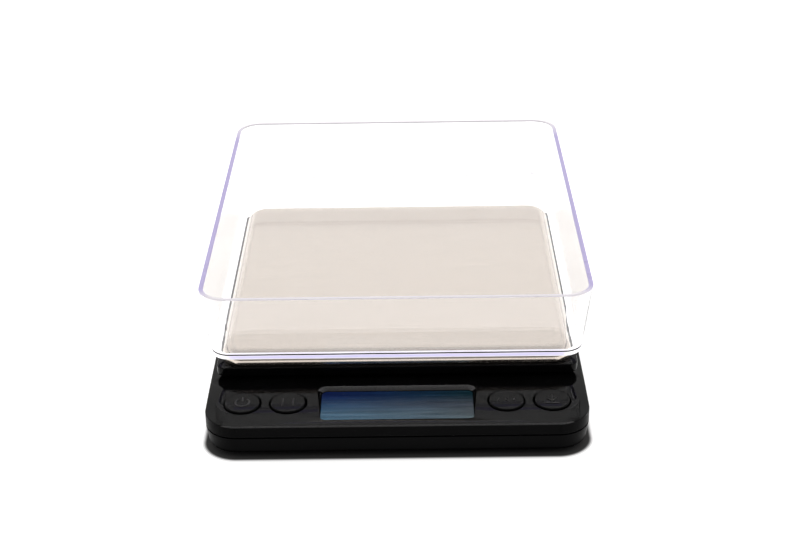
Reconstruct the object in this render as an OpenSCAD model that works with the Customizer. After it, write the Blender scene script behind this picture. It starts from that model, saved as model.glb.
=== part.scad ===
// Pocket gram scale with a steel weighing plate and a clear lift-off tray.
// X runs to the right, Y to the back and Z up. The origin is on the table, under the middle of the outline.
// Modules measure Y from the front face of the case; from_front() moves them into the frame.

/* [Case] */
// Width of the case
body_w = 106; // [104:0.5:125]
// Depth of the case, front to back
body_d = 127; // [126:0.5:145]
// Corner radius of the case in plan
body_r = 9; // [7:0.5:12]
// Wall thickness of both shells
case_wall = 1.6; // [1.5:0.1:2]
// Thickness of the lower shell's floor and of the battery door
floor_t = 1.6; // [1.4:0.1:1.8]
// Thickness of the control panel and deck
deck_t = 1.6; // [1.3:0.1:1.8]
// Height of the lower shell, floor to seam
lower_h = 5.1; // [4.8:0.1:6]
// Height of the upper shell's front wall, seam to top edge
front_h = 3.8; // [3.6:0.1:5]
// How far the lower shell draws in towards its bottom
lower_taper = 0.6; // [0.2:0.1:1]
// Radius of the lower shell's bottom edge
bottom_r = 1.2; // [0.6:0.1:1.4]
// Radius of the upper shell's top edge
edge_r = 0.6; // [0.3:0.1:1]
// Height of the shadow line between the shells
seam_gap = 0.4; // [0.2:0.1:0.8]
// Depth of the shadow line between the shells
seam_depth = 0.4; // [0.2:0.05:0.5]
// Thickness of the lower shell's locating lip
lip_t = 0.6; // [0.4:0.1:0.7]
// Height of the lower shell's locating lip
lip_h = 1; // [0.6:0.1:1.6]
// Clearance between fixed pieces that fit together
fit_gap = 0.1; // [0.05:0.05:0.2]

/* [Feet] */
// How far the feet hold the case off the table
foot_h = 1.2; // [0.8:0.1:3]
// Diameter of a foot
foot_d = 8; // [6:0.5:10]
// Depth of a foot's seat in the floor
foot_seat = 0.5; // [0.3:0.1:0.8]
// Distance of a foot from the case's sides
foot_side = 11; // [9:0.5:14]
// Distance of a foot from the case's front and back
foot_end = 10; // [8:0.5:14]

/* [Control panel] */
// Depth of the sloping control panel
panel_d = 22.4; // [21:0.1:23]
// Rise of the control panel from front edge to deck
panel_rise = 1.15; // [0.8:0.05:1.6]
// Diameter of a button
button_d = 9.8; // [8:0.1:10.4]
// Clearance round a button
button_gap = 0.4; // [0.2:0.05:0.6]
// How far the buttons stand proud of the panel
button_proud = 0.4; // [0.2:0.1:1]
// Distance from the front face to the button centres
button_y = 11.3; // [9:0.1:13]
// Distance from the display's edge to the inner button's centre
button_from_display = 9.15; // [9:0.05:10]
// Distance between neighbouring buttons
button_pitch = 12.65; // [12:0.05:13]
// Distance from the outer button's centre to the case's side
button_side = 10.1; // [9.5:0.05:11]
// Width of a button's retaining flange beyond its cap
flange_w = 0.8; // [0.5:0.1:1]
// Thickness of a button's retaining flange at its front
flange_t = 0.8; // [0.6:0.1:1]
// Length of a button's stem below the flange
stem_l = 0.4; // [0.3:0.05:0.8]
// Diameter of a button's stem
stem_d = 4; // [3:0.1:5]

/* [Display] */
// Width of the display window
lcd_w = 42.2; // [38:0.1:43]
// Depth of the display window
lcd_d = 14.8; // [12:0.1:15.5]
// Distance from the front face to the display window
lcd_front = 3.2; // [2.8:0.1:5]
// Corner radius of the display window
lcd_r = 1.6; // [0.8:0.1:3]
// Run of the bevel round the display for each unit of its height
bevel_run = 1.5; // [1:0.1:2]
// Thickness of the display window
lens_t = 0.8; // [0.6:0.1:1]
// Thickness of the ledge that carries the window
ledge_t = 0.7; // [0.5:0.1:0.9]
// Width of the ledge that carries the window
ledge_w = 0.6; // [0.4:0.1:1]
// Width of the moulded frame round the window
frame_w = 1.6; // [1.2:0.1:2]
// Thickness of the display cell
glass_t = 1.9; // [1.4:0.1:2.2]
// How far the display cell reaches past the window
glass_lap = 0.9; // [0.6:0.1:1.1]
// Depth of the contact strip along the display's back edge
zebra_d = 1.4; // [1:0.1:2]

/* [Circuit board] */
// Thickness of the circuit board
board_t = 1; // [0.8:0.1:1.2]
// Distance from the front face to the board
board_front = 3; // [2.4:0.1:3]
// Depth of the board
board_d = 20; // [19.6:0.1:21]
// Corner radius of the board
board_r = 4; // [2:0.1:5]
// Width of a tact switch
switch_w = 6; // [5:0.1:6.2]
// Height of a tact switch's body
switch_h = 1.9; // [1.6:0.1:2]
// Diameter of a switch plunger
plunger_d = 3; // [2:0.1:3.5]
// Height of a switch plunger above the switch
plunger_h = 0.5; // [0.4:0.05:0.6]
// Length of a switch plunger inside the switch
plunger_in = 0.8; // [0.6:0.05:0.9]
// Free travel below a switch plunger
plunger_travel = 0.5; // [0.4:0.05:0.6]
// Diameter of a board post
post_d = 4.2; // [3.6:0.1:4.4]
// Distance of the board's screws from its front and back edges
post_edge = 2.3; // [2:0.1:2.6]
// Diameter of the board screws' shank
board_screw_d = 1.8; // [1.4:0.1:2]
// Diameter of the board screws' head
board_head_d = 3.6; // [3:0.1:4]
// Height of the board screws' head
board_head_h = 0.7; // [0.5:0.1:0.8]
// Controller package: width, depth, height
chip_size = [7.6, 4.6, 1.5];
// Small board parts: width, depth, height
part_size = [2.4, 1.6, 1.2];
// Pitch of the small board parts
part_pitch = 4; // [3.4:0.1:4.4]

/* [Load cell] */
// Length of the load cell
cell_l = 47; // [42:0.5:54]
// Width of the load cell
cell_w = 12; // [10:0.5:14]
// Height of the load cell
cell_h = 6; // [5.4:0.1:6.6]
// Length of the load cell's mounting ends
cell_end = 13; // [12:0.5:14]
// Pitch of the two screws at each end
cell_screw_pitch = 6; // [5.8:0.1:6.4]
// Diameter of the two round cut-outs
cutout_d = 4; // [3:0.1:4.4]
// Distance between the two round cut-outs
cutout_pitch = 11; // [8:0.5:13]
// Width of the slot that joins the cut-outs
cutout_slot = 2; // [1:0.1:2.6]
// Height of the pedestal under the fixed end
pedestal_h = 1.9; // [1.6:0.1:2.4]
// Free travel before the overload stop
stop_gap = 0.6; // [0.5:0.05:0.9]
// Strain gauge: length, width, thickness
gauge_size = [6, 3.4, 0.2];
// Thickness of the sealant over the gauges
sealant_t = 0.9; // [0.6:0.1:1.2]
// Width of the bare strip beside the sealant
sealant_edge = 1; // [0.6:0.1:1.6]

/* [Screws] */
// Diameter of the load cell's screws
m3_d = 2.8; // [2.6:0.1:2.9]
// Diameter of the screw holes in the load cell
m3_hole = 3.2; // [3.1:0.1:3.4]
// Diameter of the load cell screws' head
m3_head_d = 5.2; // [4.6:0.1:5.3]
// Height of the load cell screws' head
m3_head_h = 1.2; // [1:0.1:1.3]
// Reach of the load cell's screws into the metal
m3_reach = 4.6; // [4:0.1:5]
// Reach of the board screws into their posts
board_reach = 2; // [1.6:0.1:2.2]
// Diameter of the case screws
case_screw_d = 2.3; // [2:0.1:2.4]
// Diameter of the case screws' head
case_head_d = 4.4; // [4:0.1:4.8]
// Height of the case screws' head
case_head_h = 1.2; // [1:0.1:1.4]
// Reach of the case screws into the upper shell
case_reach = 5; // [4:0.1:6]
// Diameter of a case screw boss
boss_d = 6.4; // [6:0.1:7]
// Distance of the case screws from the island's sides and front
boss_side = 7; // [6:0.5:9]
// Distance of the rear case screws from the rear feet
boss_rear = 12; // [10:0.5:14]
// How far a sunk screw head lies below the surface
head_sink = 0.15; // [0.05:0.05:0.3]
// Width of the cross slot in a screw head
cross_w = 0.7; // [0.5:0.1:0.8]
// Depth of the cross slot in a screw head
cross_t = 0.5; // [0.4:0.1:0.5]

/* [Batteries] */
// Diameter of a cell
battery_d = 10.5; // [9.8:0.1:14.5]
// Length of a cell with its nub
battery_l = 44.5; // [40:0.5:51]
// Diameter of the positive nub
nub_d = 3.8; // [3:0.1:5]
// Length of the positive nub
nub_l = 0.8; // [0.6:0.1:1.5]
// Clearance round a cell
battery_gap = 0.35; // [0.2:0.05:0.5]
// Wall of the battery bay
bay_wall = 1.1; // [0.9:0.1:1.4]
// Length of a contact spring in place
spring_l = 5; // [4:0.1:7]
// Wire diameter of a contact spring
spring_wire = 0.6; // [0.5:0.05:0.7]
// Outer radius of a contact spring at the plate
spring_r_base = 3.6; // [3:0.1:4]
// Outer radius of a contact spring at the cell
spring_r_tip = 2; // [1.6:0.1:2.4]
// Turns of a contact spring
spring_turns = 4; // [3:0.5:4.5]
// Height of the dimple that meets a cell's nub
dimple_l = 1; // [0.8:0.1:1.4]
// Diameter of the dimple that meets a cell's nub
dimple_d = 3; // [2.4:0.1:3.6]
// Thickness of the contact plates
contact_t = 0.4; // [0.3:0.05:0.6]
// Height of the contact plates
contact_h = 8; // [7:0.1:8.6]
// How far the door's side rails lap over the floor
rail_w = 0.7; // [0.6:0.1:0.9]
// Width of the door's side rails on the door itself
rail_foot = 0.9; // [0.7:0.1:1]
// Height of the door's side rails
rail_h = 0.9; // [0.7:0.1:1.1]
// Clearance round the sliding door
door_gap = 0.2; // [0.15:0.05:0.3]
// Number of thumb grooves in the door
grip_count = 5; // [3:1:7]
// Pitch of the thumb grooves
grip_pitch = 1.8; // [1.5:0.1:2.2]
// Width of a thumb groove
grip_w = 0.8; // [0.6:0.1:1]
// Depth of a thumb groove
grip_depth = 0.35; // [0.2:0.05:0.5]
// Length of a thumb groove
grip_l = 14; // [10:0.5:20]

/* [Platform] */
// Width and depth of the steel plate
plate_w = 100.4; // [96:0.2:102]
// Corner radius of the steel plate
plate_r = 6.5; // [6:0.5:10]
// Sheet thickness of the steel plate
sheet_t = 0.5; // [0.4:0.1:0.8]
// Height of the steel plate's turned-down skirt
skirt_h = 4.2; // [3.8:0.05:4.6]
// Outer radius of the plate's bent edge
bend_r = 3.6; // [2:0.1:3.8]
// How far the plastic support stands out past the steel plate
support_step = 1.05; // [0.6:0.05:1.2]
// Corner radius of the plastic support
support_r = 2.5; // [1.5:0.1:4]
// Gap between the support and the deck
support_gap = 1.15; // [0.9:0.05:1.5]
// Wall thickness of the support's skirt
support_wall = 2; // [1.8:0.1:2.6]
// Thickness of the support's top
web_t = 1.3; // [1.1:0.1:1.8]
// Inner radius round the support's top edge
web_r = 1.2; // [0.8:0.1:1.6]
// Clearance between the steel plate and the support inside it
plate_gap = 0.2; // [0.1:0.05:0.4]
// Thickness of the adhesive tape under the plate
tape_t = 0.2; // [0.1:0.05:0.4]
// Distance of the tape from the support's edge
tape_edge = 6; // [4:0.5:12]
// Gap between the support's top and the island under it
platform_gap = 0.8; // [0.7:0.05:1.2]
// Thickness of the island's shell
island_t = 1.3; // [1:0.1:1.6]
// Side clearance between the island and the support
island_gap = 1; // [0.8:0.1:1.6]
// Corner radius of the island
island_r = 5; // [2.5:0.5:6]
// Clearance round the platform's boss in the island
boss_gap = 1.5; // [1:0.1:2.5]
// Distance from the front face to the support
support_front = 23.5; // [23.3:0.1:24.4]

/* [Tray] */
// Width of the tray at its rim
tray_w = 109.6; // [104:0.2:118]
// Depth of the tray at its rim
tray_d = 133.4; // [124:0.2:142]
// Height of the tray
tray_h = 20.4; // [16:0.2:28]
// Wall and floor thickness of the tray
tray_wall = 1.3; // [1:0.1:2]
// Corner radius of the tray at its rim
tray_r = 8; // [7:0.5:11]
// How far each wall leans out from bottom to rim
tray_draft = 2.6; // [0.8:0.1:3.5]
// Outer radius of the tray's bottom edge
tray_foot_r = 0.5; // [0.3:0.1:1.5]
// Inner radius between the tray's floor and walls
tray_inner_r = 1.5; // [0.5:0.1:2]
// Distance from the case's front face to the tray's rim
tray_front = 17.95; // [16:0.05:22]

/* [Hidden] */
$fn = 64;

// Length by which a cut runs past the surface that it opens
cut = 1;
// How far the panel's edge round stands out past the two faces that it joins
edge_over = 0.06;

// Heights, from the table up
case_z = foot_h;
floor_z = case_z + floor_t;
seam_z = case_z + lower_h;
edge_z = seam_z + front_h;
deck_z = edge_z + panel_rise;
battery_z = floor_z + battery_gap + battery_d / 2;
bay_z = floor_z + 2 * battery_gap + battery_d;
bay_top_z = bay_z + bay_wall;
island_in_z = bay_top_z + fit_gap;
island_z = island_in_z + island_t;
web_z = island_z + platform_gap;
support_z = web_z + web_t;
plate_in_z = support_z + tape_t;
plate_z = plate_in_z + sheet_t;
skirt_z = plate_z - skirt_h;
ledge_z = skirt_z - fit_gap;
support_low_z = deck_z + support_gap;
cell_z = floor_z + pedestal_h;
cell_top_z = cell_z + cell_h;

// Height of the panel's upper surface at a depth y from the front face
function panel_z(y) = edge_z + panel_rise * min(y, panel_d) / panel_d;

// The display window lies level, flush with the panel along its front edge
lens_z = panel_z(lcd_front);
lens_low_z = lens_z - lens_t;
ledge_low_z = lens_low_z - ledge_t;
glass_z = ledge_low_z - fit_gap;
glass_low_z = glass_z - glass_t;
lcd_back = lcd_front + lcd_d;
glass_w = lcd_w + 2 * glass_lap;
glass_front = lcd_front + ledge_w - glass_lap;
glass_back = lcd_back + glass_lap;

// Buttons, from the power button at the left to the tare button at the right
// Room that the sizes leave over between display and side is shared out on both sides of a pair of buttons
button_room = body_w / 2 - lcd_w / 2 - button_from_display - button_pitch - button_side;
inner_x = lcd_w / 2 + button_from_display + button_room / 2;
outer_x = inner_x + button_pitch;
button_x = [-outer_x, -inner_x, inner_x, outer_x];
flange_r = button_d / 2 + flange_w;
flange_z = panel_z(button_y - flange_r) - deck_t - fit_gap - flange_t;
plunger_z = flange_z - stem_l;
switch_z = plunger_z - plunger_h;
board_z = switch_z - switch_h;
board_low_z = board_z - board_t;

// Circuit board
post_x = inner_x + button_pitch / 2;
board_w = 2 * (outer_x + switch_w / 2 + cut);
board_back = board_front + board_d;
post_rows = [board_front + post_edge, board_back - post_edge];
board_hole_d = board_screw_d + 2 * fit_gap;
board_head_z = board_low_z - board_head_h;
chip_y = board_back - chip_size[1] / 2 - cut;
zebra_w = lcd_w - 2 * ledge_w;

// Platform and island
support_w = plate_w + 2 * support_step;
core_w = plate_w - 2 * (sheet_t + plate_gap);
core_in_w = core_w - 2 * web_t;
core_r = plate_r - sheet_t - plate_gap;
bend_in_r = max(bend_r - sheet_t, fit_gap);
hollow_w = support_w - 2 * support_wall;
island_w = core_w - 2 * (web_t + island_gap);
island_in_w = island_w - 2 * island_t;
platform_y = support_front + support_w / 2;
island_back = platform_y + island_w / 2;

// Load cell: the fixed end is at the left, the free end that carries the platform at the right
cell_end_x = cell_l / 2 - cell_end / 2;
cell_screw_x = [-cell_screw_pitch / 2, cell_screw_pitch / 2];
sealant_l = cell_l - 2 * cell_end - 2 * fit_gap;
stop_w = cell_w / 2;
boss_hole_w = cell_end + 2 * boss_gap;

// Battery bay, set against the back of the island
bay_w = 2 * battery_d + 3 * battery_gap;
bay_l = battery_l + spring_l + dimple_l + 2 * contact_t;
bay_back = island_back - island_t - fit_gap - bay_wall;
bay_front = bay_back - bay_w;
bay_y = (bay_front + bay_back) / 2;
cell_row = (battery_d + battery_gap) / 2;
spring_seat = bay_l / 2 - contact_t;
contact_w = battery_d - 2 * battery_gap;
tab_w = 3;
tab_l = 2.2;
door_half = bay_l / 2 - rail_w;

// Case screws, inside the island's corners
boss_x = island_w / 2 - boss_side;
boss_rows = [platform_y - island_w / 2 + boss_side, body_d - foot_end - boss_rear];
case_head_z = case_z + case_head_h + head_sink;
cell_head_z = case_z + m3_head_h + head_sink;
support_head_z = support_z - m3_head_h - head_sink;

// Tray: the size at its foot follows from the rim and the lean of its walls
foot_r = tray_r - tray_draft;
tray_lean = atan(tray_draft / tray_h);
tray_y = tray_front + tray_d / 2;

// The outline runs from the case's front face to whichever reaches further back, the case or the tray
front_y = -max(body_d, tray_front + tray_d) / 2;

// Wires: they leave the cell and the battery tabs, drop to the floor and rise onto the board's back edge
wire_d = 0.9;
wire_pitch = 1.3;
wire_sides = 8;
spring_sides = 6;
wire_rest = wire_d / 2;
wire_floor_z = floor_z + wire_rest + fit_gap;
wire_board_z = board_z + wire_rest;
cell_lead_count = 4;
cell_lead_y = platform_y - cell_w / 2 + sealant_edge;
cell_lead_z = cell_top_z + sealant_t / 2;
tab_x = -bay_l / 2 - tab_l;
tab_wire_x = -bay_l / 2 - bay_wall - 2 * fit_gap;
tab_wire_z = battery_z + contact_t / 2 + wire_rest;

// Last stretch of a wire at a given x: along the floor and up onto the board
function board_end(x) = [
  [x, board_back + 5, wire_floor_z],
  [x, board_back + 3, wire_floor_z + 0.3],
  [x, board_back + 1.2, wire_board_z],
  [x, board_back - 0.6, wire_board_z + 0.1],
  [x, board_back - 2.2, wire_board_z]
];

// Route of a load cell wire at a given x, forward over the cell's edge and down to the floor
function cell_lead(x) = concat([
  [x, cell_lead_y, cell_lead_z],
  [x, cell_lead_y - 2.4, cell_lead_z],
  [x, cell_lead_y - 4.6, cell_lead_z - 1.2],
  [x, cell_lead_y - 8, cell_lead_z - 4.4],
  [x, cell_lead_y - 11, (wire_floor_z + cell_lead_z) / 2 - 2.6],
  [x, cell_lead_y - 14, wire_floor_z + 0.4],
  [x, cell_lead_y - 18, wire_floor_z]
], board_end(x));

// Route of a battery wire from its tab down a lane beside the bay to the board at a given x
function battery_lead(row, lane, x) = let (y = bay_y + row * cell_row) concat([
  [tab_wire_x, y, tab_wire_z],
  [tab_x - 0.4, y, tab_wire_z],
  [(tab_x + lane) / 2 - 0.6, y - 0.8, tab_wire_z - 0.4],
  [lane, y - 3, tab_wire_z - 1.4],
  [lane, y - 8, (tab_wire_z + wire_floor_z) / 2],
  [lane, y - 13, wire_floor_z + 0.6],
  [lane, y - 18, wire_floor_z],
  [lane, platform_y, wire_floor_z],
  [lane, board_back + 24, wire_floor_z],
  [(2 * lane + x) / 3, board_back + 19, wire_floor_z],
  [(lane + 2 * x) / 3, board_back + 14, wire_floor_z]
], board_end(x));

// Colours
black_plastic = "#1c1c1d";
black_rubber = "#141414";
steel = "#d8d4cc";
nickel = "#b9bcc0";
board_green = "#1f5a35";
aluminium = "#c9cccf";
clear_plastic = [0.86, 0.84, 0.96, 0.35];

// Shared shapes

// Moves a piece whose Y is measured from the case's front face into the frame
module from_front() {
  translate([0, front_y, 0])
    children();
}

// Flat rectangle with true round corners, about the origin
module rounded_rect(w, d, r) {
  square([w - 2 * r, d], center = true);
  square([w, d - 2 * r], center = true);
  for (x = [-1, 1], y = [-1, 1])
    translate([x * (w / 2 - r), y * (d / 2 - r)])
      circle(r = r);
}

// Upright block with round corners between two heights, centred at depth y
module block(w, d, r, y, z_low, z_high) {
  translate([0, y, z_low])
    linear_extrude(z_high - z_low)
      rounded_rect(w, d, r);
}

// Box about X = 0 between two depths and two heights
module slab(w, y_front, y_back, z_low, z_high) {
  translate([-w / 2, y_front, z_low])
    cube([w, y_back - y_front, z_high - z_low]);
}

// Solid whose section is swept round a rounded rectangle; the child is the section beyond the corner's centre
module swept_block(w, d, r, y, z_low, z_high) {
  half_x = w / 2 - r;
  half_y = d / 2 - r;
  translate([0, y, 0]) {
    slab(2 * half_x, -half_y, half_y, z_low, z_high);
    for (side = [0:3]) {
      reach = side % 2 == 0 ? half_x : half_y;
      run = side % 2 == 0 ? half_y : half_x;
      rotate([0, 0, 90 * side])
        translate([reach, run, 0]) {
          rotate([90, 0, 0])
            linear_extrude(2 * run)
              children();
          rotate_extrude(angle = 90)
            children();
        }
    }
  }
}

// Section with a rounded lower corner and a wall that leans out by lean degrees from the foot radius r
module cup_section(r, fillet, lean, z_low, z_high) {
  centre = r + fillet * tan(lean) - fillet / cos(lean);
  polygon([
    [0, z_low],
    [centre, z_low],
    [centre + fillet * cos(lean), z_low + fillet - fillet * sin(lean)],
    [r + (z_high - z_low) * tan(lean), z_high],
    [0, z_high]
  ]);
  translate([centre, z_low + fillet])
    circle(r = fillet);
}

// Section with a rounded upper corner and an upright wall
module cap_section(r, fillet, z_low, z_high) {
  round = min(fillet, z_high - z_low, r);
  polygon([[0, z_low], [r, z_low], [r, z_high - round], [r - round, z_high], [0, z_high]]);
  translate([r - round, z_high - round])
    intersection() {
      circle(r = round);
      square(round + cut);
    }
}

// Everything below the panel and deck surface, lowered by drop
module below_panel(drop) {
  rotate([90, 0, 90])
    translate([0, 0, -body_w])
      linear_extrude(2 * body_w)
        polygon([
          [-cut, 0],
          [-cut, panel_z(-cut) - drop],
          [panel_d, deck_z - drop],
          [body_d + cut, deck_z - drop],
          [body_d + cut, 0]
        ]);
}

// Round bar along Z between two heights
module post(d, z_low, z_high) {
  translate([0, 0, z_low])
    cylinder(d = d, h = z_high - z_low);
}

// Cross slot of a screw, centred at height z and reaching half its depth each way
module cross_slot(head_d, z) {
  for (turn = [0, 90])
    rotate([0, 0, turn])
      translate([0, 0, z])
        cube([head_d * 0.6, cross_w, 2 * cross_t], center = true);
}

// Screw whose head is at the bottom and whose shank points up
module screw_up(head_d, head_h, shank_d, z_head, z_tip) {
  difference() {
    union() {
      post(head_d, z_head - head_h, z_head);
      post(shank_d, z_head - head_h / 2, z_tip);
    }
    cross_slot(head_d, z_head - head_h);
  }
}

// Screw whose head is at the top and whose shank points down
module screw_down(head_d, head_h, shank_d, z_head, z_tip) {
  difference() {
    union() {
      post(head_d, z_head, z_head + head_h);
      post(shank_d, z_tip, z_head + head_h / 2);
    }
    cross_slot(head_d, z_head + head_h);
  }
}

function unit(v) = v / norm(v);
function heading(path, i) = unit(path[min(i + 1, len(path) - 1)] - path[max(i - 1, 0)]);

// Tube of a few flat sides along a route; up is a direction that the route never points in
module tube(path, d, sides, up) {
  last = len(path) - 1;
  points = [
    for (i = [0:last])
      let (ahead = heading(path, i), across = unit(cross(up, ahead)), over = cross(ahead, across))
        for (k = [0:sides - 1])
          path[i] + d / 2 * (cos(360 * k / sides) * across + sin(360 * k / sides) * over)
  ];
  skin = [
    for (i = [0:last - 1], k = [0:sides - 1])
      let (a = i * sides + k, b = i * sides + (k + 1) % sides)
        each [[a, a + sides, b + sides], [a, b + sides, b]]
  ];
  polyhedron(
    points = points,
    faces = concat(skin, [[for (k = [0:sides - 1]) k]], [[for (k = [sides - 1:-1:0]) last * sides + k]])
  );
}

// Places of the repeated pieces
module at_boss() {
  for (x = [-boss_x, boss_x], y = boss_rows)
    translate([x, y, 0])
      children();
}

module at_foot() {
  for (x = [-1, 1], y = [foot_end, body_d - foot_end])
    translate([x * (body_w / 2 - foot_side), y, 0])
      children();
}

module at_board_post() {
  for (x = [-post_x, post_x], y = post_rows)
    translate([x, y, 0])
      children();
}

module at_cell_screw(end) {
  for (x = cell_screw_x)
    translate([end * cell_end_x + x, platform_y, 0])
      children();
}

// Space inside the case's walls between two heights
module case_inside(z_low, z_high) {
  block(body_w - 2 * case_wall, body_d - 2 * case_wall, body_r - case_wall, body_d / 2, z_low, z_high);
}

// Lower shell

// Outside of the lower shell, drawn in towards a rounded bottom edge
module lower_outside() {
  swept_block(body_w, body_d, body_r, body_d / 2, case_z, seam_z)
    lower_section();
}

// Section of the lower shell's edge
module lower_section() {
  foot = body_r - lower_taper;
  polygon([
    [0, case_z],
    [foot - bottom_r, case_z],
    [foot, case_z + bottom_r],
    [body_r, seam_z],
    [0, seam_z]
  ]);
  translate([foot - bottom_r, case_z + bottom_r])
    circle(r = bottom_r);
}

// Section of the battery door: a flat plate whose side rails lap over the floor, grown by a clearance
module door_section(gap) {
  side = door_half + gap;
  tip = door_half + rail_w + gap;
  root = door_half - rail_foot;
  low = floor_z + fit_gap - gap;
  top = floor_z + fit_gap + rail_h + gap;
  polygon([
    [-side, 0],
    [side, 0],
    [side, low],
    [tip, low],
    [tip, top],
    [root, top],
    [root, floor_z],
    [-root, floor_z],
    [-root, top],
    [-tip, top],
    [-tip, low],
    [-side, low]
  ]);
}

// The door's section run from a given depth out through the back
module door_run(gap, y_front) {
  translate([0, body_d + cut, 0])
    rotate([90, 0, 0])
      linear_extrude(body_d + cut - y_front)
        door_section(gap);
}

module battery_bay() {
  slab(bay_l + 2 * bay_wall, bay_front - bay_wall, bay_back + bay_wall, case_z + floor_t / 2, bay_top_z);
}

module lower_case() {
  color(black_plastic)
    from_front() {
      difference() {
        union() {
          difference() {
            lower_outside();
            case_inside(floor_z, seam_z + cut);
          }
          locating_lip();
          battery_bay();
          at_boss()
            post(boss_d, floor_z - floor_t / 2, seam_z);
          pedestal();
        }
        slab(bay_l, bay_front, bay_back, floor_z - cut, bay_z);
        door_run(door_gap, bay_front);
        contact_slots();
        at_boss() {
          post(case_screw_d + 2 * fit_gap, case_z - cut, seam_z + cut);
          post(case_head_d + 2 * fit_gap, case_z - cut, case_head_z);
        }
        at_cell_screw(-1) {
          post(m3_hole, case_z - cut, cell_z + cut);
          post(m3_head_d + 2 * fit_gap, case_z - cut, cell_head_z);
        }
        at_foot()
          post(foot_d + 2 * fit_gap, case_z - cut, case_z + foot_seat);
        at_board_post()
          post(board_head_d + 4 * fit_gap, board_head_z - 2 * fit_gap, seam_z);
      }
    }
}

// Thin lip inside the seam that the upper shell drops over
module locating_lip() {
  lip_w = body_w - 2 * (case_wall - lip_t);
  lip_d = body_d - 2 * (case_wall - lip_t);
  difference() {
    block(lip_w, lip_d, body_r - case_wall + lip_t, body_d / 2, floor_z, seam_z + lip_h);
    case_inside(0, seam_z + lip_h + cut);
  }
}

// Seat of the load cell's fixed end, and the overload stop under its free end
module pedestal() {
  translate([-cell_end_x, platform_y, floor_z - floor_t / 2])
    translate([-cell_end / 2, -cell_w / 2, 0])
      cube([cell_end, cell_w, pedestal_h + floor_t / 2]);
  translate([cell_end_x, platform_y, 0])
    post(stop_w, floor_z - floor_t / 2, cell_z - stop_gap);
}

// Slots in the bay's left wall for the solder tabs of the two end contacts
module contact_slots() {
  for (row = [-1, 1])
    translate([-bay_l / 2 - bay_wall / 2, bay_y + row * cell_row, battery_z])
      cube([bay_wall + cut, tab_w + 2 * fit_gap, contact_t + 2 * fit_gap], center = true);
}

module battery_door() {
  color(black_plastic)
    from_front()
      difference() {
        intersection() {
          door_run(0, bay_front + door_gap);
          union() {
            lower_outside();
            slab(bay_l + cut, bay_front, body_d - bottom_r, floor_z - fit_gap, seam_z);
          }
        }
        for (i = [0:grip_count - 1])
          slab(grip_l, bay_front + (i + 2) * grip_pitch, bay_front + (i + 2) * grip_pitch + grip_w,
            case_z - cut, case_z + grip_depth);
      }
}

module rubber_feet() {
  color(black_rubber)
    from_front()
      at_foot()
        rotate_extrude() {
          polygon([
            [0, 0],
            [foot_d / 2 - foot_h / 4, 0],
            [foot_d / 2, foot_h / 2],
            [foot_d / 2, case_z + foot_seat],
            [0, case_z + foot_seat]
          ]);
        }
}

module case_screws() {
  color(nickel)
    from_front()
      at_boss()
        screw_up(case_head_d, case_head_h, case_screw_d, case_head_z, seam_z + case_reach);
}

// Upper shell

// Puts a shape drawn for a level panel, with its surface at height 0, onto the sloping panel
module on_panel() {
  translate([0, 0, edge_z])
    rotate([atan(panel_rise / panel_d), 0, 0])
      children();
}

// Everything above the panel, and the sharp corner along its front and sides that the edge radius takes off
module above_panel() {
  on_panel() {
    slab(2 * body_w, -body_d, 2 * panel_d, 0, body_w);
    difference() {
      slab(body_w + 4 * cut, -2 * cut, 2 * panel_d, edge_over - edge_r, cut);
      swept_block(body_w + 2 * edge_over, body_d, body_r, body_d / 2 - edge_over, -2 * edge_r, edge_over)
        cap_section(body_r, edge_r, -2 * edge_r, edge_over);
    }
  }
}

// Outside of the upper shell: a level deck with a sloping panel in front, every upper edge rounded
module upper_outside() {
  difference() {
    swept_block(body_w, body_d, body_r, body_d / 2, seam_z, deck_z)
      cap_section(body_r, edge_r, seam_z, deck_z);
    above_panel();
  }
}

// Space inside the upper shell, below the panel and deck
module upper_inside() {
  intersection() {
    case_inside(seam_z - cut, deck_z);
    below_panel(deck_t);
  }
  lip_in = case_wall - lip_t - fit_gap;
  lip_top_z = seam_z + lip_h + fit_gap;
  block(body_w - 2 * lip_in, body_d - 2 * lip_in, body_r - lip_in, body_d / 2, seam_z - cut, lip_top_z);
}

// Shadow line round the bottom of the upper shell
module seam_rebate() {
  difference() {
    block(body_w + 2 * cut, body_d + 2 * cut, body_r, body_d / 2, seam_z - cut, seam_z + seam_gap);
    block(body_w - 2 * seam_depth, body_d - 2 * seam_depth, body_r - seam_depth, body_d / 2, 0, deck_z);
  }
}

// Opening of the display: a bevelled recess, the seat of the window and the view through its ledge
module display_opening() {
  rise = deck_z - lens_z + cut;
  bevel_y = lcd_front + lcd_d / 2;
  swept_block(lcd_w + 2 * fit_gap, lcd_d + 2 * fit_gap, lcd_r, bevel_y, lens_z, lens_z + rise)
    polygon([[0, lens_z], [lcd_r, lens_z], [lcd_r + bevel_run * rise, lens_z + rise], [0, lens_z + rise]]);
  block(lcd_w + 2 * fit_gap, lcd_d + 2 * fit_gap, lcd_r, bevel_y, lens_low_z, lens_z + fit_gap);
  block(lcd_w - 2 * ledge_w, lcd_d - 2 * ledge_w, lcd_r, bevel_y, seam_z, lens_z);
  slab(glass_w + 2 * fit_gap, glass_front - fit_gap, glass_back + fit_gap, seam_z - cut, ledge_low_z);
}

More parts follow.
